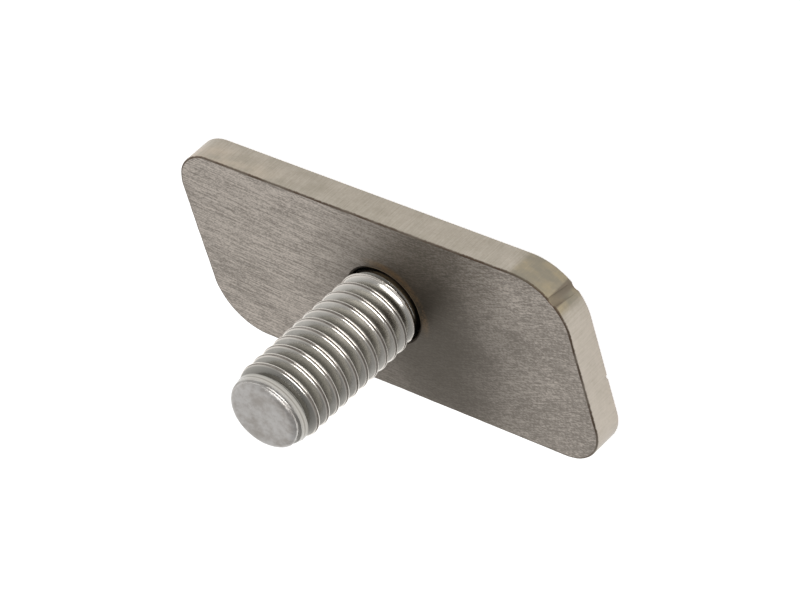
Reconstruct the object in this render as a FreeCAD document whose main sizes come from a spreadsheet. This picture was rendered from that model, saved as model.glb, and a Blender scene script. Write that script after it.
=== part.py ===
import FreeCAD, Part
import math
import os
import Sketcher
from FreeCAD import Vector

# T slot bolt: a parallelogram slot plate with a threaded stud standing square on it.
# Frame: the plate lies flat on z = 0 with its rear face down, X runs along the plate's
# long edges and +Z runs up the stud's axis. The origin is the centre of the rear face.

# Driving sizes in millimetres and degrees, each with what it measures
SIZES = [
    ("plate_length", 50.0, "plate, end to end along the long edges at mid width"),
    ("plate_width", 22.2, "plate, across the long edges"),
    ("plate_thickness", 3.6, "plate, rear face to clamping face"),
    ("end_skew", 9.0, "lean of the two ends, in degrees from square"),
    ("tight_corner", 4.4, "radius of the two acute corners"),
    ("wide_corner", 6.6, "radius of the two obtuse corners"),
    ("edge_break", 0.15, "edge break round both faces of the plate"),
    ("notch_radius", 0.8, "radius of the cutter's lead-in notch"),
    ("notch_depth", 0.3, "depth of the lead-in notch into the edge"),
    ("notch_angle", 44.0, "direction of the notch round its corner, in degrees"),
    ("thread_major", 9.48, "major diameter of the 3/8 inch thread"),
    ("thread_pitch", 1.5875, "pitch of the thread, 16 turns to the inch"),
    ("thread_start", 0.81, "how far inside the bore the ridge starts, on the +X side"),
    ("stud_reach", 19.4, "stud, from the clamping face to its point, on its axis"),
    ("point_round", 1.7, "radius round the stud's point"),
    ("point_slant", 9.5, "slant of the cropped point, in degrees from square"),
    ("slant_direction", 195.0, "side on which the point stands highest, in degrees from +X"),
    ("shank_diameter", 8.6, "plain shank in the bore, at about the pitch diameter"),
    ("shank_band", 0.3, "plain shank that shows above the clamping face"),
    ("bore_clearance", 0.1, "gap that lets the thread's crests through the bore"),
    ("bore_chamfer", 0.12, "chamfer at the front of the bore"),
    ("weld_depth", 1.2, "plug weld, from the rear face to the shank's butt"),
]

# Proportions of the 60 degree thread form, as shares of the pitch
CREST_FLAT = "(1 / 8)"
THREAD_DEPTH = "0.6134"
FLANK_SLOPE = "tan(30 deg)"

# How far a ridge or a cutting profile reaches past the metal that it joins or trims
OVERLAP = "(sizes.thread_pitch / 12)"

# Heights and radii that several features share
CREST_RADIUS = "(sizes.thread_major / 2)"
ROOT_RADIUS = f"({CREST_RADIUS} - {THREAD_DEPTH} * sizes.thread_pitch)"
SHANK_RADIUS = "(sizes.shank_diameter / 2)"
BORE_RADIUS = f"({CREST_RADIUS} + sizes.bore_clearance)"
BAND_TOP = "(sizes.plate_thickness + sizes.shank_band)"
POINT = "(sizes.plate_thickness + sizes.stud_reach)"


def make_sheet(doc):
    sheet = doc.addObject("Spreadsheet::Sheet", "sizes")
    for row, (alias, value, note) in enumerate(SIZES, start=1):
        sheet.set(f"A{row}", alias)
        sheet.set(f"B{row}", str(value))
        sheet.set(f"C{row}", note)
        sheet.setAlias(f"B{row}", alias)
    doc.recompute()
    return sheet


def number(sheet, expression):
    value = sheet.evalExpression(expression)
    return float(getattr(value, "Value", value))


def make_body(doc, name):
    body = doc.addObject("PartDesign::Body", name)
    body.Label = name
    return body


def make_sketch(body, name, role):
    plane = next(item for item in body.Origin.OriginFeatures if item.Role == role)
    sketch = body.newObject("Sketcher::SketchObject", name)
    sketch.AttachmentSupport = [(plane, "")]
    sketch.MapMode = "FlatFace"
    return sketch


def bind_size(sketch, kind, geometry, expression, value):
    index = sketch.addConstraint(Sketcher.Constraint(kind, *geometry, value))
    sketch.renameConstraint(index, f"size_{index}")
    sketch.setExpression(f"Constraints.size_{index}", expression)


# Pins one end or centre of a sketch element to the point that two expressions give
def pin_point(sheet, sketch, element, end, across, up):
    for kind, expression, axis in (("DistanceX", across, -2), ("DistanceY", up, -1)):
        if expression == "0":
            sketch.addConstraint(Sketcher.Constraint("PointOnObject", element, end, axis))
        else:
            place = (-1, 1, element, end)
            bind_size(sketch, kind, place, expression, number(sheet, expression))


# A closed profile through corners given as pairs of expressions. A corner with a third
# expression starts an arc of that radius, which turns to the left up to the next corner.
def draw_profile(sheet, sketch, corners):
    places = [Vector(number(sheet, item[0]), number(sheet, item[1]), 0) for item in corners]
    count = len(corners)
    for index, start in enumerate(places):
        stop = places[(index + 1) % count]
        if len(corners[index]) == 2:
            sketch.addGeometry(Part.LineSegment(start, stop))
            continue
        radius = number(sheet, corners[index][2])
        chord = stop - start
        rise = math.sqrt(radius ** 2 - chord.Length ** 2 / 4)
        outward = Vector(chord.y, -chord.x, 0).normalize()
        sketch.addGeometry(Part.Arc(start, (start + stop) / 2 + outward * (radius - rise), stop))
        bind_size(sketch, "Radius", (index,), corners[index][2], radius)
    for index, item in enumerate(corners):
        pin_point(sheet, sketch, index, 1, item[0], item[1])
        joint = Sketcher.Constraint("Coincident", index, 2, (index + 1) % count, 1)
        sketch.addConstraint(joint)


# A revolved feature about its sketch's own upright axis, which a placement may lean
def revolve(sheet, body, kind, name, corners, lean=None):
    sketch = make_sketch(body, f"{name}_profile", "XZ_Plane")
    if lean:
        sketch.setExpression("AttachmentOffset", lean)
    draw_profile(sheet, sketch, corners)
    feature = body.newObject(f"PartDesign::{kind}", name)
    feature.Profile = sketch
    feature.ReferenceAxis = (sketch, ["V_Axis"])
    feature.Angle = 360
    body.Document.recompute()
    return feature


# The outline's upright edges, at its two acute corners or at its two obtuse ones
def corner_edges(base, acute):
    names = []
    for index, edge in enumerate(base.Shape.Edges, start=1):
        low, high = (vertex.Point for vertex in edge.Vertexes)
        upright = abs(high.z - low.z) > abs(high.x - low.x) + abs(high.y - low.y)
        if upright and (low.x * low.y < 0) == acute:
            names.append(f"Edge{index}")
    return names


# The edges that lie in the plate's two faces
def face_edges(base, heights):
    names = []
    for index, edge in enumerate(base.Shape.Edges, start=1):
        box = edge.BoundBox
        if any(max(abs(box.ZMin - z), abs(box.ZMax - z)) < 1e-6 for z in heights):
            names.append(f"Edge{index}")
    return names


def dress_edges(body, kind, name, base, edges, size):
    feature = body.newObject(f"PartDesign::{kind}", name)
    feature.Base = (base, edges)
    feature.setExpression("Radius" if kind == "Fillet" else "Size", size)
    body.Document.recompute()
    return feature


# The blank: a parallelogram whose ends lean by end_skew, centred on the origin
def plate_blank(sheet, body):
    half_width = "(sizes.plate_width / 2)"
    lean = f"({half_width} * tan(sizes.end_skew * 1 deg))"
    half_length = "(sizes.plate_length / 2)"
    sketch = make_sketch(body, "outline", "XY_Plane")
    draw_profile(sheet, sketch, [
        (f"-{half_length} + {lean}", f"-{half_width}"),
        (f"{half_length} + {lean}", f"-{half_width}"),
        (f"{half_length} - {lean}", half_width),
        (f"-{half_length} - {lean}", half_width),
    ])
    pad = body.newObject("PartDesign::Pad", "blank")
    pad.Profile = sketch
    pad.setExpression("Length", "sizes.plate_thickness")
    body.Document.recompute()
    return pad


# The cutter's lead-in leaves a shallow groove through the edge at the wide corner on +X +Y
def lead_in_notch(sheet, body):
    lean = "tan(sizes.end_skew * 1 deg)"
    centre_up = "(sizes.plate_width / 2 - sizes.wide_corner)"
    reach = f"(sizes.wide_corner / cos(sizes.end_skew * 1 deg) + {centre_up} * {lean})"
    centre_across = f"(sizes.plate_length / 2 - {reach})"
    offset = "(sizes.wide_corner + sizes.notch_radius - sizes.notch_depth)"
    across = f"{centre_across} + {offset} * cos(sizes.notch_angle * 1 deg)"
    up = f"{centre_up} + {offset} * sin(sizes.notch_angle * 1 deg)"
    sketch = make_sketch(body, "notch_circle", "XY_Plane")
    place = Vector(number(sheet, across), number(sheet, up), 0)
    radius = number(sheet, "sizes.notch_radius")
    sketch.addGeometry(Part.Circle(place, Vector(0, 0, 1), radius))
    pin_point(sheet, sketch, 0, 3, across, up)
    bind_size(sketch, "Radius", (0,), "sizes.notch_radius", radius)
    pocket = body.newObject("PartDesign::Pocket", "notch")
    pocket.Profile = sketch
    pocket.Type = "ThroughAll"
    pocket.Midplane = True
    body.Document.recompute()


def make_slot_plate(doc, sheet):
    body = make_body(doc, "slot_plate")
    blank = plate_blank(sheet, body)
    tight = dress_edges(body, "Fillet", "tight_corners", blank,
                        corner_edges(blank, True), "sizes.tight_corner")
    wide = dress_edges(body, "Fillet", "wide_corners", tight,
                       corner_edges(tight, False), "sizes.wide_corner")
    heights = (0, number(sheet, "sizes.plate_thickness"))
    dress_edges(body, "Chamfer", "edge_breaks", wide,
                face_edges(wide, heights), "sizes.edge_break")
    # The bore: a sink for the weld at the rear, a hole that passes the thread, a front chamfer
    revolve(sheet, body, "Groove", "bore", [
        ("0", f"-{OVERLAP}"),
        (f"{BORE_RADIUS} + sizes.weld_depth + {OVERLAP}", f"-{OVERLAP}"),
        (BORE_RADIUS, "sizes.weld_depth"),
        (BORE_RADIUS, "sizes.plate_thickness - sizes.bore_chamfer"),
        (f"{BORE_RADIUS} + sizes.bore_chamfer + {OVERLAP}",
         f"sizes.plate_thickness + {OVERLAP}"),
        ("0", f"sizes.plate_thickness + {OVERLAP}"),
    ])
    lead_in_notch(sheet, body)
    return body


# What the turning leaves of the stud: the plain shank, the run-out cone that the ridge rises
# through and the crest cylinder, then the point, rounded square to its own slanted axis
def turned_outline(doc, sheet):
    body = make_body(doc, "turned_outline")
    above = f"({POINT} + 3 * sizes.thread_pitch)"
    revolve(sheet, body, "Revolution", "turned_bar", [
        ("0", "sizes.weld_depth"),
        (SHANK_RADIUS, "sizes.weld_depth"),
        (SHANK_RADIUS, BAND_TOP),
        (CREST_RADIUS, f"{BAND_TOP} + sizes.thread_pitch / 2"),
        (CREST_RADIUS, above),
        ("0", above),
    ])
    # The point's own frame: its origin is on the stud's axis, its height along the lean
    lean = (f"placement(vector(0; {POINT}; 0);"
            " rotation(vector(0; 1; 0); sizes.slant_direction * 1 deg)"
            " * rotation(vector(0; 0; 1); sizes.point_slant * 1 deg))")
    round_out = f"({CREST_RADIUS} + {OVERLAP})"
    outside = f"({CREST_RADIUS} + 2 * sizes.thread_pitch)"
    revolve(sheet, body, "Groove", "rounded_point", [
        (round_out, "-sizes.point_round", "sizes.point_round"),
        (f"{round_out} - sizes.point_round", "0"),
        ("0", "0"),
        ("0", "4 * sizes.thread_pitch"),
        (outside, "4 * sizes.thread_pitch"),
        (outside, "-sizes.point_round"),
    ], lean)
    return body


# The thread is a helical ridge that runs up a core at the root diameter and past its point.
# What core and ridge share with the turned outline is the stud.
def make_threaded_stud(doc, sheet):
    body = make_body(doc, "threaded_stud")
    # The core's cone falls from above the shank's radius to the root in a little over a turn
    fade = f"(sizes.thread_pitch / ({SHANK_RADIUS} - {ROOT_RADIUS}))"
    above = f"({POINT} + 2 * sizes.thread_pitch)"
    revolve(sheet, body, "Revolution", "core", [
        ("0", f"sizes.weld_depth - {OVERLAP}"),
        (f"{SHANK_RADIUS} + {OVERLAP}", f"sizes.weld_depth - {OVERLAP}"),
        (f"{SHANK_RADIUS} + {OVERLAP}", f"{BAND_TOP} - {OVERLAP} * {fade}"),
        (ROOT_RADIUS, f"{BAND_TOP} + sizes.thread_pitch"),
        (ROOT_RADIUS, above),
        ("0", above),
    ])
    # The ridge starts inside the shank, so that the turning brings it out little by little
    start = "(sizes.plate_thickness - sizes.thread_start)"
    sunk = f"({ROOT_RADIUS} - {OVERLAP})"
    proud = f"({CREST_RADIUS} + {OVERLAP})"
    half_tip = f"(sizes.thread_pitch * {CREST_FLAT} / 2 - {OVERLAP} * {FLANK_SLOPE})"
    half_base = f"({half_tip} + ({proud} - {sunk}) * {FLANK_SLOPE})"
    sketch = make_sketch(body, "ridge_profile", "XZ_Plane")
    draw_profile(sheet, sketch, [
        (sunk, f"{start} - {half_base}"),
        (proud, f"{start} - {half_tip}"),
        (proud, f"{start} + {half_tip}"),
        (sunk, f"{start} + {half_base}"),
    ])
    ridge = body.newObject("PartDesign::AdditiveHelix", "ridge")
    ridge.Profile = sketch
    ridge.ReferenceAxis = (sketch, ["V_Axis"])
    ridge.Mode = "pitch-height-angle"
    ridge.setExpression("Pitch", "sizes.thread_pitch")
    ridge.setExpression("Height", f"{POINT} + sizes.thread_pitch - {start}")
    turned = turned_outline(doc, sheet)
    shared = body.newObject("PartDesign::Boolean", "turned_thread")
    shared.Type = "Common"
    shared.setObjects([turned])
    doc.recompute()
    return body


# The plug weld fills the bore's rear sink up to the shank's butt and is ground flush
def make_rear_weld(doc, sheet):
    body = make_body(doc, "rear_weld")
    revolve(sheet, body, "Revolution", "plug", [
        ("0", "0"),
        (f"{BORE_RADIUS} + sizes.weld_depth", "0"),
        (BORE_RADIUS, "sizes.weld_depth"),
        ("0", "sizes.weld_depth"),
    ])
    return body


def check(doc, bodies):
    for item in doc.Objects:
        if "Invalid" in item.State or "Error" in item.State:
            raise RuntimeError(f"{item.Name} failed: {item.State}")
    for body in bodies:
        if body.Shape.isNull() or not body.Shape.isValid() or len(body.Shape.Solids) != 1:
            raise RuntimeError(f"{body.Label} isn't one valid solid")


def main():
    doc = FreeCAD.newDocument("t_slot_bolt")
    sheet = make_sheet(doc)
    makers = (make_slot_plate, make_threaded_stud, make_rear_weld)
    bodies = [maker(doc, sheet) for maker in makers]
    doc.recompute()
    check(doc, bodies)
    os.makedirs("parts", exist_ok=True)
    for body in bodies:
        body.Shape.exportStep(f"parts/{body.Label}.step")
        print(body.Label, round(body.Shape.Volume, 3), "mm3", len(body.Shape.Faces), "faces")


main()
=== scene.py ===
import math

import bmesh
import bpy
from bpy.props import FloatProperty, FloatVectorProperty, PointerProperty
from mathutils import Matrix, Vector, noise


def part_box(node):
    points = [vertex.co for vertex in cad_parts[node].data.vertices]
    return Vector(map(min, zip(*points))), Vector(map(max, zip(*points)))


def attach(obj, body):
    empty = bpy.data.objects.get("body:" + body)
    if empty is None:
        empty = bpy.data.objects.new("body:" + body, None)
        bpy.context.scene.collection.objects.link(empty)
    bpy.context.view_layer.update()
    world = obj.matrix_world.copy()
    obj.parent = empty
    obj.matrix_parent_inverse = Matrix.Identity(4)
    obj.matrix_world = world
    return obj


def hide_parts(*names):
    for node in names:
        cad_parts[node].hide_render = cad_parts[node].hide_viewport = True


bl_info = {
    "name": "T Slot Bolt",
    "version": (1, 0, 0),
    "blender": (4, 5, 0),
    "location": "View3D > Sidebar > T Slot Bolt",
    "description": "Builds the slot plate, rolled stud and ground weld of a t slot bolt",
    "category": "Object",
}

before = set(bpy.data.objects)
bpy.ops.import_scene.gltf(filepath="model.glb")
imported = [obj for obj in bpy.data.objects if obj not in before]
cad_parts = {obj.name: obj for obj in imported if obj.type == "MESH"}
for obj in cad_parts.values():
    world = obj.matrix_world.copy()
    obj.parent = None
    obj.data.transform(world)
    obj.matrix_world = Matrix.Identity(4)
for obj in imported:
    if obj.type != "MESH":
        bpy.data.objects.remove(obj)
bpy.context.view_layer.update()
PLATE_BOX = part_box("slot_plate")
STUD_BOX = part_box("threaded_stud")
MM = 0.001
CLEAR_OF_BOX = 0.03 * MM  # The crests stay this far inside the CAD's box
MERGE_WITHIN = 0.002 * MM
CUT_WITHIN = 0.0002 * MM
TURN_STEPS = 160  # Steps round the bore and the weld
SWEEP_STEPS = 128  # Steps in each turn of the thread
LAST_TURN = 4  # Turns from the crest at crest_height down to the thread's run-out

# Corners of a rolled crest as depth below it and height along the axis, in millimetres:
# a high lip below, a lower lip above and a seam between them
CREST_CORNERS = ((0.03, -0.19), (0, -0.13), (0.04, -0.07), (0.14, 0), (0.14, 0.06),
                 (0.08, 0.13), (0.12, 0.20))
# Depths of the rings round the rounded point, in millimetres below the crop
RING_DEPTHS = (0.01, 0.04, 0.09, 0.16, 0.26, 0.38, 0.52, 0.7, 0.9)
# Each ring of faces in the crop, as a share of the one outside it
RING_SHARES = (0.92, 0.85, 0.75, 0.65, 0.5, 0.4)


def length(name, description, default):
    return FloatProperty(name=name, description=description, default=default,
                         unit="LENGTH", precision=5)


def angle(name, description, default):
    return FloatProperty(name=name, description=description, subtype="ANGLE",
                         default=math.radians(default))


def colour(name, description, default):
    return FloatVectorProperty(name=name, description=description, subtype="COLOR",
                               size=3, min=0, max=1, default=default)


class BoltSizes(bpy.types.PropertyGroup):
    """Sizes of the bolt's three pieces"""

    plate_length: length(
        "Plate length", "End to end along the long edges, at mid width", 49.99 * MM)
    plate_width: length(
        "Plate width", "Across the long edges", PLATE_BOX[1].y - PLATE_BOX[0].y)
    plate_thickness: length(
        "Plate thickness", "Rear face to clamping face", PLATE_BOX[1].z)
    end_skew: angle("End skew", "Lean of the two ends from square", 9)
    tight_corner: length("Tight corner", "Radius of the acute corners", 4.4 * MM)
    wide_corner: length("Wide corner", "Radius of the obtuse corners", 6.6 * MM)
    edge_round: length("Edge round", "Width of the rounding round both faces", 0.15 * MM)
    edge_waver: length("Edge waver", "How far in the front edge wavers", 0.08 * MM)
    burr_width: length("Burr width", "Dark band round the front face", 0.05 * MM)
    notch_radius: length("Notch radius", "Radius of the lead-in notch", 0.8 * MM)
    notch_depth: length("Notch depth", "Depth of the lead-in notch", 0.3 * MM)
    notch_angle: angle("Notch angle", "Place of the notch round its corner", 44)
    nick_radius: length("Nick radius", "Radius of the nick in the right end", 0.62 * MM)
    bore_radius: length(
        "Bore radius", "Radius of the bore that the thread passes", 4.84 * MM)
    bore_round: length(
        "Bore round", "Rolled-over rim at the front of the bore", 0.28 * MM)
    weld_depth: length("Weld depth", "Rear face to the butt of the stud", STUD_BOX[0].z)
    pitch: length("Pitch", "Pitch of the thread", 1.5875 * MM)
    crest_radius: length(
        "Crest radius", "Radius at the thread's crests", STUD_BOX[1].x - CLEAR_OF_BOX)
    thread_depth: length(
        "Thread depth", "Depth of the thread from crest to root", 0.974 * MM)
    shank_radius: length("Shank radius", "Radius of the plain shank", 4.3 * MM)
    shank_band: length("Shank band", "Plain shank above the clamping face", 0.3 * MM)
    crest_height: length("Crest height", "Height of one crest above +X", 10.728 * MM)
    point_height: length(
        "Point height", "Rear face to the point, on the axis", 23.27 * MM)
    point_radius: length("Point radius", "Radius of the point below its round", 4.2 * MM)
    point_round: length("Point round", "Radius round the point's edge", 0.9 * MM)
    point_taper: length("Point taper", "From the round down to full crests", 1.5 * MM)
    point_slant: angle("Point slant", "Slant of the cropped point", 4.6)
    slant_direction: angle(
        "Slant direction", "Side on which the point stands highest", 190)


class BoltFinish(bpy.types.PropertyGroup):
    """Colours of the steel, sheet, cut edges, thread and weld"""

    sheet_light: colour(
        "Sheet, light", "Ground sheet between its lines", (0.68, 0.615, 0.55))
    sheet_dark: colour("Sheet, dark", "Ground sheet in its lines", (0.31, 0.275, 0.24))
    sheet_hairs: colour("Sheet, hairs", "Long bright scratches", (0.70, 0.65, 0.59))
    # Painted shade round the bore, for the stud's reflection and shadow on the sheet
    stud_shade: colour("Smoke", "Dark stain round the bore", (0.12, 0.105, 0.085))
    heat_tint: colour(
        "Heat tint", "Straw and brown tint round the bore", (0.42, 0.29, 0.17))
    edge_light: colour("Edge, light", "Cut edge where it is clean", (0.51, 0.46, 0.40))
    edge_dark: colour("Edge, dark", "Cut edge where it is stained", (0.25, 0.225, 0.175))
    edge_straw: colour("Edge, straw", "Stains beside the notch", (0.46, 0.37, 0.22))
    # Tan tint and painted sheen on the left of the cut edge
    edge_tan_sheen: colour("Edge, tan", "Tint at the left of the cut edge", (0.60, 0.46, 0.33))
    # Colour with which the lead-in notch is painted darker
    groove: colour("Groove", "Grime in the lead-in notch", (0.16, 0.13, 0.10))
    burr: colour("Burr", "Thin burr line round the front face", (0.12, 0.085, 0.06))
    bore_wall: colour("Bore wall", "Heat-tinted rim of the bore", (0.50, 0.40, 0.28))
    # Bore wall painted near black, as shade deep in the gap round the stud
    bore_shade_light: colour("Soot, light", "Bore wall under thin soot", (0.09, 0.07, 0.05))
    bore_shade_dark: colour("Soot, dark", "Bore wall under thick soot", (0.03, 0.025, 0.02))
    # The flanks' stains, and painted light that makes the flanks lighter towards the
    # shank
    thread_light: colour(
        "Thread, light", "Flanks of the rolled thread", (0.69, 0.665, 0.615))
    thread_dark: colour(
        "Thread, dark", "Flanks where they are stained", (0.45, 0.435, 0.40))
    # Painted shade in the thread's roots and on its last turn before the point
    root: colour("Root", "Grime in the thread's roots", (0.275, 0.265, 0.24))
    # Painted highlight on the lips of the crests
    lip_highlight: colour("Lip", "Bright lips of the thread's crests", (0.82, 0.775, 0.715))
    # Painted shade on the seam along the crests
    seam: colour("Seam", "Dark seam along the crests", (0.10, 0.075, 0.055))
    point: colour("Point", "Cropped point", (0.645, 0.625, 0.605))
    point_dull: colour("Point, dull", "Dull spots of the point", (0.44, 0.41, 0.38))
    weld_light: colour("Weld, light", "Ground weld metal", (0.55, 0.53, 0.50))
    weld_dark: colour("Weld, dark", "Weld metal in its pits", (0.25, 0.23, 0.21))


class StudioSettings(bpy.types.PropertyGroup):
    """Floor, light and lens of the studio"""

    floor: colour("Floor", "Colour of the floor", (0.86, 0.86, 0.86))
    surround: colour("Surround", "Colour of the room round the bolt", (0.33, 0.33, 0.33))
    soft_light: colour(
        "Soft light", "The room on its brightest side", (0.80, 0.80, 0.80))
    floor_radius: length("Floor radius", "Radius of the round floor", 1.6)
    floor_glow: FloatProperty(
        name="Floor glow", description="Light that the floor adds to look white",
        subtype="FACTOR", min=0, max=1, default=0.62)
    key_bearing: angle("Key bearing", "Bearing of the softbox, from +X", 50)
    key_elevation: angle("Key elevation", "Height of the softbox as an angle", 59)
    key_distance: length("Key distance", "From the bolt to the softbox", 0.7)
    key_length: length("Key length", "Long side of the softbox", 0.62)
    key_width: length("Key width", "Short side of the softbox", 0.12)
    key_power: FloatProperty(
        name="Key power", description="Power of the softbox", unit="POWER",
        default=1.7)
    lens: FloatProperty(
        name="Lens", description="Focal length of the camera", unit="CAMERA",
        default=154.215)


# Modelling: each piece is shaped in edit mode, on elements picked by place or size

def start_piece(name):
    piece = bpy.context.object
    piece.name = name
    piece.data.name = name
    return piece


def select_only(piece):
    bpy.ops.object.select_all(action="DESELECT")
    piece.select_set(True)
    bpy.context.view_layer.objects.active = piece


def edit(piece):
    select_only(piece)
    bpy.ops.object.mode_set(mode="EDIT")


def leave_edit():
    bpy.ops.object.mode_set(mode="OBJECT")


def pick_all():
    bpy.ops.mesh.select_all(action="SELECT")


def pick(kind, test):
    """Selects the verts, edges or faces in edit mode that pass the test"""
    modes = {"verts": "VERT", "edges": "EDGE", "faces": "FACE"}
    bpy.ops.mesh.select_mode(type=modes[kind])
    bpy.ops.mesh.select_all(action="DESELECT")
    data = bpy.context.edit_object.data
    mesh = bmesh.from_edit_mesh(data)
    chosen = [item for item in getattr(mesh, kind) if test(item)]
    for item in chosen:
        item.select_set(True)
    mesh.select_flush_mode()
    bmesh.update_edit_mesh(data)
    if not chosen:
        raise RuntimeError(f"no {kind} of {bpy.context.edit_object.name} pass the test")


def apply_modifier(piece, kind, **settings):
    select_only(piece)
    bpy.ops.object.modifier_add(type=kind)
    modifier = piece.modifiers[-1]
    for key, value in settings.items():
        setattr(modifier, key, value)
    bpy.ops.object.modifier_apply(modifier=modifier.name)


def cut_away(piece, cutter):
    """Takes the cutter's solid out of the piece"""
    apply_modifier(piece, "BOOLEAN", operation="DIFFERENCE", solver="EXACT",
                   object=cutter)
    bpy.data.objects.remove(cutter)


def draw_chain(name, corners):
    """A chain of edges through corners given as radius and height"""
    bpy.ops.object.select_all(action="DESELECT")
    bpy.ops.mesh.primitive_plane_add(size=MM)
    piece = start_piece(name)
    edit(piece)
    pick("verts", lambda point: point.index > 0)
    bpy.ops.mesh.delete(type="VERT")
    pick_all()
    mesh = bmesh.from_edit_mesh(piece.data)
    mesh.verts.ensure_lookup_table()
    left_over = mesh.verts[0].co.copy()
    first = Vector((corners[0][0], 0, corners[0][1]))
    bpy.ops.transform.translate(value=first - left_over)
    for start, stop in zip(corners, corners[1:]):
        step = (stop[0] - start[0], 0, stop[1] - start[1])
        bpy.ops.mesh.extrude_vertices_move(TRANSFORM_OT_translate={"value": step})
    leave_edit()
    return piece


def turn(name, corners, steps):
    """A closed solid turned from a chain that starts and ends on the bolt's axis"""
    piece = draw_chain(name, corners)
    edit(piece)
    pick_all()
    bpy.ops.mesh.spin(steps=steps, angle=math.tau, center=(0, 0, 0), axis=(0, 0, 1))
    pick_all()
    bpy.ops.mesh.remove_doubles(threshold=MERGE_WITHIN)
    bpy.ops.mesh.normals_make_consistent(inside=False)
    leave_edit()
    return piece


def smooth(piece, degrees):
    """Shades the piece smooth but for the edges sharper than an angle"""
    select_only(piece)
    bpy.ops.object.shade_smooth_by_angle(angle=math.radians(degrees))


def paint(piece, *materials):
    piece.data.materials.clear()
    for material in materials:
        piece.data.materials.append(material)


def hand_over(piece, node):
    """Sets a finished piece in the frame in place of its CAD node"""
    if not piece.data.polygons:
        raise RuntimeError(f"{piece.name} has no faces")
    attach(piece, "root")
    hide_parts(node)


def ramp(value, low, high):
    """A smooth step from 0 at low to 1 at high"""
    share = min(max((value - low) / (high - low), 0), 1)
    return share * share * (3 - 2 * share)


def soft_min(first, second, blend):
    near = max(blend - abs(first - second), 0) / blend
    return min(first, second) - near * near * blend / 4


def soft_max(first, second, blend):
    return -soft_min(-first, -second, blend)


# Materials: sums are Python expressions, any other node comes from Finish.node

class Link:
    """An output socket of a finish, on which Python's operators add Math nodes"""

    def __init__(self, finish, socket):
        self.finish = finish
        self.socket = socket

    def out(self, name):
        return Link(self.finish, self.socket.node.outputs[name])

    def math(self, operation, *values):
        sockets = dict(enumerate(values))
        return self.finish.node("Math", {"operation": operation}, sockets)

    def __add__(self, other):
        return self.math("ADD", self, other)

    def __radd__(self, other):
        return self.math("ADD", other, self)

    def __sub__(self, other):
        return self.math("SUBTRACT", self, other)

    def __rsub__(self, other):
        return self.math("SUBTRACT", other, self)

    def __mul__(self, other):
        return self.math("MULTIPLY", self, other)

    def __rmul__(self, other):
        return self.math("MULTIPLY", other, self)

    def __truediv__(self, other):
        return self.math("DIVIDE", self, other)

    def __pow__(self, other):
        return self.math("POWER", self, other)

    def __abs__(self):
        return self.math("ABSOLUTE", self)

    def step(self, low, high):
        """A smooth step from 0 at low to 1 at high"""
        settings = {"interpolation_type": "SMOOTHSTEP"}
        return self.finish.node("MapRange", settings, {0: self, 1: low, 2: high})


class Finish:
    """A material whose pattern stands on Object coordinates in millimetres"""

    def __init__(self, name):
        self.material = bpy.data.materials.new(name)
        self.material.use_nodes = True
        self.tree = self.material.node_tree
        self.tree.nodes.clear()
        metres = self.node("TexCoord").out("Object")
        scaled = {"Vector": metres, "Scale": 1 / MM}
        self.place = self.node("VectorMath", {"operation": "SCALE"}, scaled)
        axes = self.node("SeparateXYZ", {}, {0: self.place})
        self.x = axes.out("X")
        self.y = axes.out("Y")
        self.z = axes.out("Z")

    @classmethod
    def over(cls, world):
        """A finish without Object coordinates, which makes the nodes of a world"""
        made = cls.__new__(cls)
        made.tree = world.node_tree
        made.tree.nodes.clear()
        return made

    def node(self, kind, settings=None, sockets=None):
        made = self.tree.nodes.new(f"ShaderNode{kind}")
        for key, value in (settings or {}).items():
            setattr(made, key, value)
        for key, value in (sockets or {}).items():
            if isinstance(value, Link):
                self.tree.links.new(value.socket, made.inputs[key])
            else:
                made.inputs[key].default_value = value
        return Link(self, next((item for item in made.outputs if item.enabled), None))

    def grain(self, size, turned=0, detail=3, rough=0.55, seed=0):
        """Noise with the grain's size in millimetres on each axis, turned about +Z"""
        settings = {"vector_type": "TEXTURE"}
        laid = self.node("Mapping", settings, {
            "Vector": self.place, "Scale": size, "Location": (seed, seed, seed),
            "Rotation": (0, 0, math.radians(turned))})
        return self.node("TexNoise", {}, {
            "Vector": laid, "Scale": 1, "Detail": detail, "Roughness": rough})

    def blend(self, share, first, second):
        """A colour between two, by a share from 0 to 1"""
        sockets = {0: share}
        for key, value in ((6, first), (7, second)):
            sockets[key] = value if isinstance(value, Link) else (*value, 1)
        settings = {"data_type": "RGBA", "clamp_factor": True}
        return self.node("Mix", settings, sockets)

    def distance_from(self, x, y, squash=1):
        """Distance in millimetres, seen along +Z, from the line through x and y"""
        off_x = self.x - x
        off_y = self.y - y
        return (off_x * off_x + off_y * off_y * squash) ** 0.5

    def metal(self, tone, roughness, height, relief, strength):
        """Ends the finish in bare steel with a relief given in millimetres"""
        bump = self.node("Bump", {}, {
            "Height": height, "Distance": relief * MM, "Strength": strength})
        shader = self.node("BsdfPrincipled", {}, {
            "Base Color": tone, "Metallic": 1.0, "Roughness": roughness, "Normal": bump})
        self.node("OutputMaterial", {}, {"Surface": shader})
        return self.material


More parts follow.
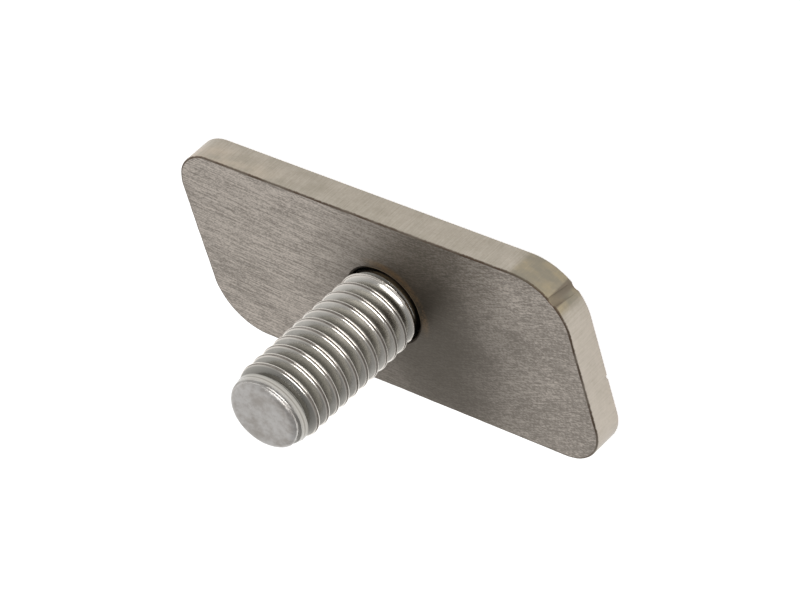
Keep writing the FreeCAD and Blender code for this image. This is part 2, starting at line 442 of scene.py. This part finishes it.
def ground_sheet(colours):
    """Sheet with fine lines, along it at the left and across it at the right"""
    finish = Finish("ground_sheet")
    along = finish.grain((2.6, 0.09, 1.0), turned=-3, detail=4, seed=3)
    across = finish.grain((1.6, 0.10, 1.0), turned=21, detail=4, seed=17)
    clouds = finish.grain((7.0, 5.0, 3.0), detail=4, seed=40)
    right = (finish.x + clouds * 16 - 8).step(-2.0, 9.0)
    lines = along * (1 - right * 0.7) + across * (right * 0.6) + right * 0.05
    hairs = finish.grain((9.0, 0.05, 1.0), turned=3, detail=2, seed=60)
    hairs = hairs.step(0.62, 0.74)
    pits = finish.grain((0.28, 0.16, 0.3), detail=2, seed=5)
    # The tone follows the lines, clouds and pits, and the right part is also painted a
    # little darker as painted shade
    grain_and_shade = lines * 2.4 + clouds * 0.6 + pits * 1.5 - right * 0.12 - 1.75
    tone = finish.blend(grain_and_shade.step(0.05, 0.95), colours.sheet_dark, colours.sheet_light)
    tone = finish.blend(hairs * 0.4, tone, colours.sheet_hairs)
    # Painted shade for the stud's reflection and shadow on the sheet: it is thickest
    # beside the bore and reaches further across than along
    shade_x, shade_y = 5.0, -2.8
    from_shade = finish.distance_from(shade_x, shade_y, squash=0.5) + clouds * 4 - 2
    stud_shade = (1 - from_shade.step(2.5, 17.5)) * 0.88
    tone = finish.blend(stud_shade, tone, colours.stud_shade)
    # A heat-tinted ring stands round one side of the bore
    ring_radius = 5.25
    ring = 1 - abs(finish.distance_from(0, 0) - ring_radius).step(0.1, 0.75)
    ring = ring * (finish.x + finish.y).step(2.0, 7.0)
    tinted = ring * (clouds + pits).step(0.7, 1.15)
    tone = finish.blend(tinted * 0.75, tone, colours.heat_tint)
    roughness = 0.38 + lines * 0.14 + clouds * 0.10
    height = lines * 0.8 + pits * 0.2 - hairs * 0.5
    return finish.metal(tone, roughness, height, 0.03, 0.5)


def cut_edge(colours, sizes):
    """Cut edge with marks across its thickness, stains and a burr line at the front"""
    finish = Finish("cut_edge")
    marks = finish.grain((0.16, 0.16, 2.6), detail=4, seed=9)
    clouds = finish.grain((3.5, 3.5, 2.2), detail=4, seed=21)
    specks = finish.grain((0.3, 0.3, 0.3), detail=2, seed=33)
    at_corner = finish.x.step(17.0, 18.0) * (1 - finish.x.step(22.9, 23.6))
    stained = at_corner * finish.y.step(7.0, 8.2)
    at_ends = abs(finish.x).step(22.5, 24.5)
    light = marks * 0.7 + clouds * 0.8 + specks * 0.3 - 0.48 - stained * 0.5
    light = light + at_ends * 0.35 - 0.1
    tone = finish.blend(light.step(-0.3, 1.0), colours.edge_dark, colours.edge_light)
    straw = stained * clouds.step(0.4, 0.7)
    tone = finish.blend(straw * 0.5, tone, colours.edge_straw)
    # The lead-in notch is painted darker
    notch_x, notch_y = notch_place(sizes, sizes.notch_angle) / MM
    groove = 1 - finish.distance_from(notch_x, notch_y).step(0.78, 0.95)
    tone = finish.blend(groove * 0.7, tone, colours.groove)
    # Partly a tan tint and partly painted sheen: the left part of the edge is lighter
    # and tan towards the front face
    at_left = 1 - finish.x.step(-25.0, -8.0)
    tan = at_left * finish.z.step(0.5, 3.2) * clouds.step(0.3, 0.7)
    tone = finish.blend(tan * 0.5, tone, colours.edge_tan_sheen)
    front = sizes.plate_thickness / MM
    burr = (finish.z + specks * 0.3 - 0.15).step(front - 0.20, front - 0.06)
    burr = burr * (clouds.step(0.35, 0.6) * 0.45 + 0.5)
    # The edge is also darker along the rim of the rear face, where the plate stands on
    # the floor
    rear_rim = 1 - finish.z.step(0.05, 0.16)
    tone = finish.blend(burr + rear_rim * 0.5, tone, colours.burr)
    roughness = 0.34 + clouds * 0.16 + marks * 0.06
    height = marks * 0.8 + specks * 0.2
    return finish.metal(tone, roughness, height, 0.05, 0.35)


def sooty_bore(colours):
    """Wall of the bore, painted near black as shade deep in the gap, and heat-tinted at
    one side of its rim
    """
    finish = Finish("sooty_bore")
    marks = finish.grain((0.2, 0.2, 1.5), detail=3, seed=12)
    # Painted shade: the wall is near black, as the gap round the stud is dark
    tone = finish.blend(marks.step(0.3, 0.7), colours.bore_shade_dark, colours.bore_shade_light)
    tinted = (finish.x + finish.y * 1.3).step(3.5, 6.5) * finish.z.step(3.2, 3.5)
    tone = finish.blend(tinted, tone, colours.bore_wall)
    return finish.metal(tone, marks * 0.2 + 0.42, marks, 0.05, 0.4)


def distance_from_crest(finish, sizes):
    """Distance in millimetres, along the bolt's axis, from the nearest crest"""
    pitch = sizes.pitch / MM
    turned = finish.y.math("ARCTAN2", finish.y, finish.x) / math.tau
    turns = (finish.z - sizes.crest_height / MM) / pitch - turned + 0.5
    return abs(turns.math("FRACT", turns) - 0.5) * pitch


def rolled_steel(colours, sizes):
    """Rolled thread with painted shade in its roots, on its seam and on its last turn,
    painted highlights on the lips round the seam, flanks painted lighter towards the
    shank, and a dull point
    """
    finish = Finish("rolled_steel")
    from_crest = distance_from_crest(finish, sizes)
    clouds = finish.grain((2.2, 2.2, 0.9), detail=3, seed=14)
    pits = finish.grain((0.2, 0.2, 0.12), detail=2, seed=8)
    # The lips get a painted highlight, which starts above the shank and fades before the
    # point
    lips = (1 - from_crest.step(0.20, 0.28)) * finish.z.step(4.1, 4.4)
    lips = lips * (1 - finish.z.step(20.6, 21.6) * 0.6)
    # Painted shade on the seam between the lips
    seam = (1 - from_crest.step(0.04, 0.09)) * finish.z.step(4.9, 5.2)
    # Painted light: the flanks are painted lighter towards the shank and darker towards
    # the point, over stains from the clouds
    light = clouds * 1.0 + pits * 0.3 - finish.z.step(5.0, 18.0) * 0.5 + 0.1
    tone = finish.blend(light.step(0.1, 0.85), colours.thread_dark, colours.thread_light)
    # Painted shade in the roots, darker away from the crests
    tone = finish.blend(from_crest.step(0.24, 0.74), tone, colours.root)
    tone = finish.blend(lips, tone, colours.lip_highlight)
    tone = finish.blend(seam * (clouds * 0.8 + 0.3), tone, colours.seam)
    # Heights along the point's leaning axis: the crop, and the last turn below it, which
    # gets painted shade
    lean = point_axis(sizes)
    leaning = finish.node("VectorMath", {"operation": "DOT_PRODUCT"}, {
        0: finish.place, 1: lean}).out("Value")
    crop = sizes.point_height / MM * lean.z
    cropped = leaning.step(crop - 0.9, crop - 0.15)
    last_turn_shade = leaning.step(crop - 2.8, crop - 1.8)
    tone = finish.blend(last_turn_shade * 0.6, tone, colours.root)
    dull = finish.grain((1.6, 1.6, 1.6), detail=6, rough=0.7, seed=51)
    end_tone = finish.blend(dull.step(0.34, 0.66), colours.point_dull, colours.point)
    tone = finish.blend(cropped, tone, end_tone)
    roughness = 0.20 + clouds * 0.08 - lips * 0.04 + cropped * (dull * 0.3 - 0.02)
    height = pits * 0.3 + dull * cropped * 8.0
    return finish.metal(tone, roughness, height, 0.02, 0.35)


def ground_weld(colours):
    """Weld metal ground flush, with pits and grinding marks"""
    finish = Finish("ground_weld")
    marks = finish.grain((2.5, 0.09, 1.0), turned=-12, detail=4, seed=71)
    clouds = finish.grain((1.6, 1.6, 1.0), detail=4, seed=77)
    pits = finish.grain((0.35, 0.35, 0.35), detail=2, seed=79).step(0.6, 0.75)
    light = marks * 0.8 + clouds * 0.8 - 0.35 - pits * 0.6
    tone = finish.blend(light.step(0.05, 0.8), colours.weld_dark, colours.weld_light)
    rim = finish.distance_from(0, 0).step(5.2, 6.1) * clouds.step(0.35, 0.65)
    tone = finish.blend(rim * 0.6, tone, colours.heat_tint)
    return finish.metal(tone, 0.32 + clouds * 0.15, marks * 0.6 - pits, 0.05, 0.5)


# The pieces

def plate_corners(sizes):
    """Centre and radius of each rounded corner of the skewed plate"""
    slope = math.tan(sizes.end_skew)
    corners = []
    for radius, side in ((sizes.wide_corner, 1), (sizes.tight_corner, -1)):
        up = side * (sizes.plate_width / 2 - radius)
        out = sizes.plate_length / 2 - radius / math.cos(sizes.end_skew) - up * slope
        corners += [(out, up, radius), (-out, -up, radius)]
    return corners


def plate_blank(sizes):
    """Four corner posts, joined and wrapped in one skewed blank"""
    posts = []
    thickness = sizes.plate_thickness
    for across, up, radius in plate_corners(sizes):
        bpy.ops.mesh.primitive_cylinder_add(vertices=96, radius=radius, depth=thickness,
                                            location=(across, up, thickness / 2))
        posts.append(bpy.context.object)
    for post in posts:
        post.select_set(True)
    bpy.ops.object.join()
    bpy.ops.object.transform_apply(location=True, rotation=True, scale=True)
    blank = start_piece("plate_visual")
    edit(blank)
    pick_all()
    bpy.ops.mesh.convex_hull()
    pick_all()
    bpy.ops.mesh.dissolve_limited(angle_limit=math.radians(0.5))
    leave_edit()
    return blank


def in_face(sizes, edge):
    """Whether an edge lies in the front face or in the rear one"""
    levels = [point.co.z for point in edge.verts]
    return any(max(abs(level - face) for level in levels) < 0.001 * MM
               for face in (0, sizes.plate_thickness))


def round_plate_edges(piece, sizes):
    """Rounds the edges of both faces, with a band for the burr round the front one"""
    edit(piece)
    pick("edges", lambda edge: in_face(sizes, edge) and edge.calc_length() > 2 * MM)
    bpy.ops.mesh.subdivide(number_cuts=70)
    pick("edges", lambda edge: in_face(sizes, edge))
    bpy.ops.mesh.bevel(offset=sizes.edge_round, segments=3, affect="EDGES",
                       offset_type="OFFSET", clamp_overlap=False)
    pick("faces", lambda face: face.normal.z > 0.99 and face.calc_area() > 100 * MM * MM)
    bpy.ops.mesh.inset(thickness=sizes.burr_width, depth=0)
    leave_edit()


def waver_front_edge(piece, sizes):
    """Draws the front edge in by a little, here more and there less"""
    front = sizes.plate_thickness
    wave = 1.3 * MM
    for point in piece.data.vertices:
        near_front = ramp(point.co.z, front - 0.4 * MM, front)
        waver = noise.noise(point.co / wave) * 0.5 + 0.5
        inward = Vector((point.co.x, point.co.y, 0)).normalized()
        point.co -= inward * waver * near_front * sizes.edge_waver


def bore_cutter(sizes):
    """The bore with its rolled-over rim in front and its wide sink behind"""
    front = sizes.plate_thickness
    bore = sizes.bore_radius
    over = sizes.bore_round
    sink = sizes.weld_depth
    return turn("bore_cutter", [
        (0, -MM),
        (bore + sink + MM, -MM),
        (bore, sink),
        (bore, sink + 0.3 * MM),
        (bore - over, front - 0.5 * MM),
        (bore - over, front - over),
        (bore - over * 0.92, front - over * 0.62),
        (bore - over * 0.71, front - over * 0.29),
        (bore - over * 0.38, front - over * 0.08),
        (bore, front),
        (bore, front + MM),
        (0, front + MM),
    ], TURN_STEPS)


def notch_place(sizes, turned):
    """Where the notch's axis passes, at an angle round its corner"""
    across, up, radius = plate_corners(sizes)[0]
    reach = radius + sizes.notch_radius - sizes.notch_depth
    return Vector((across + reach * math.cos(turned), up + reach * math.sin(turned)))


def notch_cutter(sizes):
    """The lead-in notch runs through the edge, a little aslant"""
    ends = []
    for lean, level in ((1.5, sizes.plate_thickness + 0.3 * MM), (-3.5, -0.3 * MM)):
        end = notch_place(sizes, sizes.notch_angle + math.radians(lean)).to_3d()
        end.z = level
        ends.append(end)
    run = ends[0] - ends[1]
    bpy.ops.mesh.primitive_cylinder_add(
        vertices=64, radius=sizes.notch_radius, depth=run.length,
        location=(ends[0] + ends[1]) / 2,
        rotation=run.to_track_quat("Z", "Y").to_euler())
    cutter = start_piece("notch_cutter")
    bpy.ops.object.transform_apply(location=True, rotation=True, scale=True)
    return cutter


def nick_cutter(sizes):
    """A small nick in the rear edge of the right end"""
    place = (25.42 * MM, -1.7 * MM, 0.1 * MM)
    bpy.ops.mesh.primitive_cone_add(vertices=24, radius1=sizes.nick_radius,
                                    radius2=0.12 * MM, depth=0.9 * MM, location=place)
    cutter = start_piece("nick_cutter")
    bpy.ops.object.transform_apply(location=True, rotation=True, scale=True)
    return cutter


def paint_plate(piece, sizes, colours):
    """Ground sheet on both faces, cut edges round them and painted shade in the bore"""
    paint(piece, ground_sheet(colours), cut_edge(colours, sizes), sooty_bore(colours))
    sheet, edge, bore = range(3)
    bore_reach = sizes.bore_radius + sizes.weld_depth + 0.1 * MM
    # The burr's band has only small faces, so it counts as cut edge
    for face in piece.data.polygons:
        if abs(face.normal.z) > 0.99 and face.area > MM * MM:
            face.material_index = sheet
        elif math.hypot(face.center.x, face.center.y) < bore_reach:
            face.material_index = bore
        else:
            face.material_index = edge


class TSLOT_OT_cut_slot_plate(bpy.types.Operator):
    """Cut the skewed slot plate, its bore and its lead-in notch out of ground sheet"""

    bl_idname = "tslot.cut_slot_plate"
    bl_label = "Cut Slot Plate"

    def execute(self, context):
        sizes = context.scene.bolt_sizes
        bpy.ops.object.select_all(action="DESELECT")
        piece = plate_blank(sizes)
        round_plate_edges(piece, sizes)
        waver_front_edge(piece, sizes)
        for cutter in (bore_cutter(sizes), notch_cutter(sizes), nick_cutter(sizes)):
            cut_away(piece, cutter)
        smooth(piece, 32)
        apply_modifier(piece, "WEIGHTED_NORMAL", weight=90, keep_sharp=True)
        paint_plate(piece, sizes, context.scene.bolt_finish)
        hand_over(piece, "slot_plate")
        return {"FINISHED"}


def thread_profile(sizes):
    """One pitch of the thread from root to root: radius and height of each corner"""
    crest = sizes.crest_radius
    root = crest - sizes.thread_depth
    pitch = sizes.pitch
    foot = pitch / 2 - 0.06 * MM
    low = sizes.crest_height - pitch * math.floor(sizes.crest_height / pitch + 1)
    corners = [(crest - depth * MM, height * MM) for depth, height in CREST_CORNERS]
    corners = [(root - 0.01 * MM, -pitch / 2), (root, -foot), *corners,
               (root, foot), (root - 0.01 * MM, pitch / 2)]
    return [(radius, low + height) for radius, height in corners]


def draw_thread_profile(sizes):
    """The profile with its corners rounded by bevels, as the rolling dies leave them"""
    corners = thread_profile(sizes)
    piece = draw_chain("stud_visual", corners)
    edit(piece)
    crest = sizes.crest_radius
    root = crest - sizes.thread_depth
    low = corners[0][1] + 0.01 * MM
    high = corners[-1][1] - 0.01 * MM
    pick("verts", lambda point: point.co.x < root + 0.01 * MM
         and low < point.co.z < high)
    bpy.ops.mesh.bevel(offset=0.05 * MM, segments=4, affect="VERTICES",
                       offset_type="OFFSET")
    pick("verts", lambda point: point.co.x > crest - 0.012 * MM)
    bpy.ops.mesh.bevel(offset=0.026 * MM, segments=4, affect="VERTICES",
                       offset_type="OFFSET")
    pick("edges", lambda edge: edge.calc_length() > 0.3 * MM)
    bpy.ops.mesh.subdivide(number_cuts=5)
    leave_edit()
    return piece


def point_axis(sizes):
    """The leaning axis to which the cropped point is square"""
    side = Vector((math.cos(sizes.slant_direction), math.sin(sizes.slant_direction), 0))
    up = Vector((0, 0, 1))
    return up * math.cos(sizes.point_slant) - side * math.sin(sizes.point_slant)


def turn_shank(place, sizes):
    """Trims a point of the thread to the plain shank and to its run-out"""
    band = sizes.plate_thickness + sizes.shank_band
    root = sizes.crest_radius - sizes.thread_depth
    widest = sizes.crest_radius + 0.02 * MM
    blend = 0.05 * MM
    radius = math.hypot(place.x, place.y)
    fall = min(max((place.z - band) / (0.6 * MM), 0), 1)
    core = sizes.shank_radius + (root - sizes.shank_radius) * fall
    rise = min(max((place.z - band) / (sizes.pitch / 2), 0), 1)
    outline = sizes.shank_radius + (widest - sizes.shank_radius) * rise
    trimmed = soft_min(soft_max(radius, core, blend), outline, blend)
    # The last turn's crest runs out as a plain cone
    turned = math.atan2(place.y, place.x) / math.tau
    above = place.z - sizes.crest_height - sizes.pitch * (turned - LAST_TURN)
    if above < sizes.pitch / 2:
        faded = ramp(turned, 0.40, 0.5) * 0.5 * MM
        cone = sizes.crest_radius - max(above + 0.05 * MM, 0) + faded
        trimmed = soft_min(trimmed, cone, blend)
    return Vector((place.x * trimmed / radius, place.y * trimmed / radius, place.z))


def crop_height(place, sizes):
    """Height of the slanted crop over a place of the stud's section"""
    side = math.cos(sizes.slant_direction) * place.x
    side += math.sin(sizes.slant_direction) * place.y
    return sizes.point_height + side * math.tan(sizes.point_slant)


def round_point(place, sizes):
    """Draws a point of the thread in to the rounded end, at its depth below the crop"""
    depth = crop_height(place, sizes) - place.z
    above = min(max(1 - depth / sizes.point_round, 0), 1)
    below = min(max((depth - sizes.point_round) / sizes.point_taper, 0), 1)
    if below == 1:
        return place
    narrow = sizes.point_radius - sizes.point_round * (1 - math.sqrt(1 - above * above))
    ring = narrow + (sizes.crest_radius - sizes.point_radius) * below ** 1.4
    # The last groove fades before the point, where the rolling dies had left the blank
    groove = 0.25 * MM + 0.3 * MM * ramp(depth, 0.4 * MM, 1.6 * MM)
    least = sizes.point_radius - groove
    outward = place.xy
    drawn = (outward.normalized() * min(max(outward.length, least), ring)).to_3d()
    drawn.z = crop_height(drawn, sizes) - depth
    return drawn


def crop_stud(place, normal):
    """Crops the thread at a plane and closes it there with one face"""
    pick_all()
    bpy.ops.mesh.bisect(plane_co=place, plane_no=normal, clear_outer=True,
                        threshold=CUT_WITHIN)
    pick("edges", lambda edge: edge.is_boundary and all(
        abs((point.co - Vector(place)).dot(Vector(normal))) < 0.001 * MM
        for point in edge.verts))
    bpy.ops.mesh.edge_face_add()


def roll_thread(sizes):
    """Sweeps the profile up its helix and crops it at the butt and at the point"""
    piece = draw_thread_profile(sizes)
    turns = math.ceil((sizes.point_height + 2 * MM) / sizes.pitch) + 1
    apply_modifier(piece, "SCREW", axis="Z", angle=math.tau, screw_offset=sizes.pitch,
                   iterations=turns, steps=SWEEP_STEPS, render_steps=SWEEP_STEPS)
    edit(piece)
    pick_all()
    bpy.ops.mesh.remove_doubles(threshold=MERGE_WITHIN)
    axis = point_axis(sizes)
    tip = Vector((0, 0, sizes.point_height))
    crop_stud((0, 0, sizes.weld_depth), (0, 0, -1))
    crop_stud(tip, axis)
    for depth in RING_DEPTHS:
        pick_all()
        bpy.ops.mesh.bisect(plane_co=tip - axis * depth * MM, plane_no=axis,
                            threshold=CUT_WITHIN)
    leave_edit()
    return piece


def ring_crop(piece, sizes):
    """Lays rings of faces in the crop, in place of its one large face"""
    def is_crop(face):
        return (face.calc_area() > 20 * MM * MM
                and face.calc_center_median().z > sizes.point_height / 2)

    tip = Vector((0, 0, sizes.point_height))
    edit(piece)
    pick("faces", is_crop)
    bpy.ops.mesh.remove_doubles(threshold=0.07 * MM)
    pick("faces", is_crop)
    for share in RING_SHARES:
        bpy.ops.mesh.extrude_region_move()
        bpy.ops.transform.resize(value=(share, share, share), center_override=tip)
    pick_all()
    bpy.ops.mesh.normals_make_consistent(inside=False)
    leave_edit()


class TSLOT_OT_roll_stud(bpy.types.Operator):
    """Roll the stud's thread, turn its shank and crop its point"""

    bl_idname = "tslot.roll_stud"
    bl_label = "Roll Threaded Stud"

    def execute(self, context):
        sizes = context.scene.bolt_sizes
        piece = roll_thread(sizes)
        for point in piece.data.vertices:
            point.co = round_point(turn_shank(point.co, sizes), sizes)
        ring_crop(piece, sizes)
        smooth(piece, 50)
        paint(piece, rolled_steel(context.scene.bolt_finish, sizes))
        hand_over(piece, "threaded_stud")
        return {"FINISHED"}


class TSLOT_OT_grind_weld(bpy.types.Operator):
    """Fill the bore's sink with weld metal and grind it flush with the rear face"""

    bl_idname = "tslot.grind_weld"
    bl_label = "Grind Plug Weld"

    def execute(self, context):
        sizes = context.scene.bolt_sizes
        wide = sizes.bore_radius + sizes.weld_depth
        top = sizes.weld_depth
        piece = turn("weld_visual", [
            (0, 0),
            (wide * 0.4, 0),
            (wide * 0.7, 0),
            (wide * 0.9, 0),
            (wide - 0.12 * MM, 0),
            (wide - 0.06 * MM, 0.05 * MM),
            (sizes.bore_radius, top),
            (sizes.bore_radius * 0.7, top),
            (sizes.bore_radius * 0.3, top),
            (0, top),
        ], TURN_STEPS)
        smooth(piece, 30)
        paint(piece, ground_weld(context.scene.bolt_finish))
        hand_over(piece, "rear_weld")
        return {"FINISHED"}


# The studio

def floor_finish(studio):
    """A pale floor that looks white to camera and steel, yet keeps the shadow"""
    finish = Finish("studio_floor")
    path = finish.node("LightPath")
    camera = path.out("Is Camera Ray")
    seen = camera.math("MAXIMUM", camera, path.out("Is Glossy Ray"))
    matt = finish.node("BsdfDiffuse", {}, {"Color": (*studio.floor, 1)})
    glow = finish.node("Emission", {}, {"Strength": seen * studio.floor_glow})
    both = finish.node("AddShader", {}, {0: matt, 1: glow})
    finish.node("OutputMaterial", {}, {"Surface": both})
    return finish.material


def add_floor(studio):
    """A wide round floor just under the bolt, with its rim turned up"""
    bpy.ops.object.select_all(action="DESELECT")
    bpy.ops.mesh.primitive_circle_add(vertices=96, radius=studio.floor_radius,
                                      fill_type="NGON", location=(0, 0, -0.05 * MM))
    floor = start_piece("floor")
    bpy.ops.object.transform_apply(location=True, rotation=True, scale=True)
    edit(floor)
    pick("edges", lambda edge: edge.is_boundary)
    for out, up in ((1.06, 0.03), (1.04, 0.08)):
        bpy.ops.mesh.extrude_edges_move(TRANSFORM_OT_translate={"value": (0, 0, up)})
        bpy.ops.transform.resize(value=(out, out, 1))
    leave_edit()
    paint(floor, floor_finish(studio))


def add_key_light(studio):
    """A long softbox that looks at the bolt from above"""
    level = math.cos(studio.key_elevation)
    towards = Vector((math.cos(studio.key_bearing) * level,
                      math.sin(studio.key_bearing) * level,
                      math.sin(studio.key_elevation)))
    bpy.ops.object.light_add(type="AREA", location=towards * studio.key_distance)
    box = bpy.context.object
    box.name = "key"
    box.rotation_euler = towards.to_track_quat("Z", "Y").to_euler()
    box.data.shape = "RECTANGLE"
    box.data.size = studio.key_length
    box.data.size_y = studio.key_width
    box.data.energy = studio.key_power
    box.visible_camera = False


def add_camera(studio):
    """A camera that sees the bolt as the photograph does"""
    bpy.ops.object.camera_add()
    camera = bpy.context.object
    camera.name = "studio_camera"
    right = Vector((0.78460, -0.12819, -0.60661))
    up = Vector((-0.30584, 0.77105, -0.55852))
    back = Vector((0.53932, 0.62374, 0.56576))
    stand = Vector((189.427, 217.965, 199.791)) * MM
    turned = Matrix((right, up, back)).transposed().to_4x4()
    camera.matrix_world = Matrix.Translation(stand) @ turned
    camera.data.lens = studio.lens
    camera.data.sensor_width = 36
    bpy.context.scene.camera = camera


def set_surround(studio):
    """The room: an even tone that a wide soft light brightens from the left"""
    world = bpy.data.worlds.new("studio_surround")
    world.use_nodes = True
    finish = Finish.over(world)
    bright_side = (-0.93, -0.37, 0.05)
    bearing = finish.node("VectorMath", {"operation": "DOT_PRODUCT"}, {
        0: finish.node("TexCoord").out("Generated"), 1: bright_side})
    share = bearing.out("Value").step(-0.15, 0.95)
    tone = finish.blend(share, studio.surround, studio.soft_light)
    glow = finish.node("Background", {}, {"Color": tone, "Strength": 1.0})
    finish.node("OutputWorld", {}, {"Surface": glow})
    bpy.context.scene.world = world


class TSLOT_OT_set_studio(bpy.types.Operator):
    """Lay the pale floor, light the room and stand the camera"""

    bl_idname = "tslot.set_studio"
    bl_label = "Set Studio"

    def execute(self, context):
        studio = context.scene.studio_settings
        context.scene.view_settings.view_transform = "Standard"
        add_floor(studio)
        set_surround(studio)
        add_key_light(studio)
        add_camera(studio)
        return {"FINISHED"}


class TSLOT_PT_bolt(bpy.types.Panel):
    """Lists the steps that build the bolt"""

    bl_label = "T Slot Bolt"
    bl_idname = "TSLOT_PT_bolt"
    bl_space_type = "VIEW_3D"
    bl_region_type = "UI"
    bl_category = "T Slot Bolt"

    def draw(self, context):
        layout = self.layout
        for step in STEPS:
            layout.operator(step.bl_idname)
        for settings in (context.scene.bolt_sizes, context.scene.bolt_finish,
                         context.scene.studio_settings):
            box = layout.box()
            for name in settings.__annotations__:
                box.prop(settings, name)


GROUPS = {"bolt_sizes": BoltSizes, "bolt_finish": BoltFinish,
          "studio_settings": StudioSettings}
STEPS = (TSLOT_OT_cut_slot_plate, TSLOT_OT_roll_stud, TSLOT_OT_grind_weld,
         TSLOT_OT_set_studio)
CLASSES = (*GROUPS.values(), *STEPS, TSLOT_PT_bolt)


def register():
    for item in CLASSES:
        bpy.utils.register_class(item)
    for name, group in GROUPS.items():
        setattr(bpy.types.Scene, name, PointerProperty(type=group))


def unregister():
    for name in GROUPS:
        delattr(bpy.types.Scene, name)
    for item in reversed(CLASSES):
        bpy.utils.unregister_class(item)


def main():
    register()
    bpy.ops.tslot.cut_slot_plate()
    bpy.ops.tslot.roll_stud()
    bpy.ops.tslot.grind_weld()
    bpy.ops.tslot.set_studio()


if __name__ == "__main__":
    main()
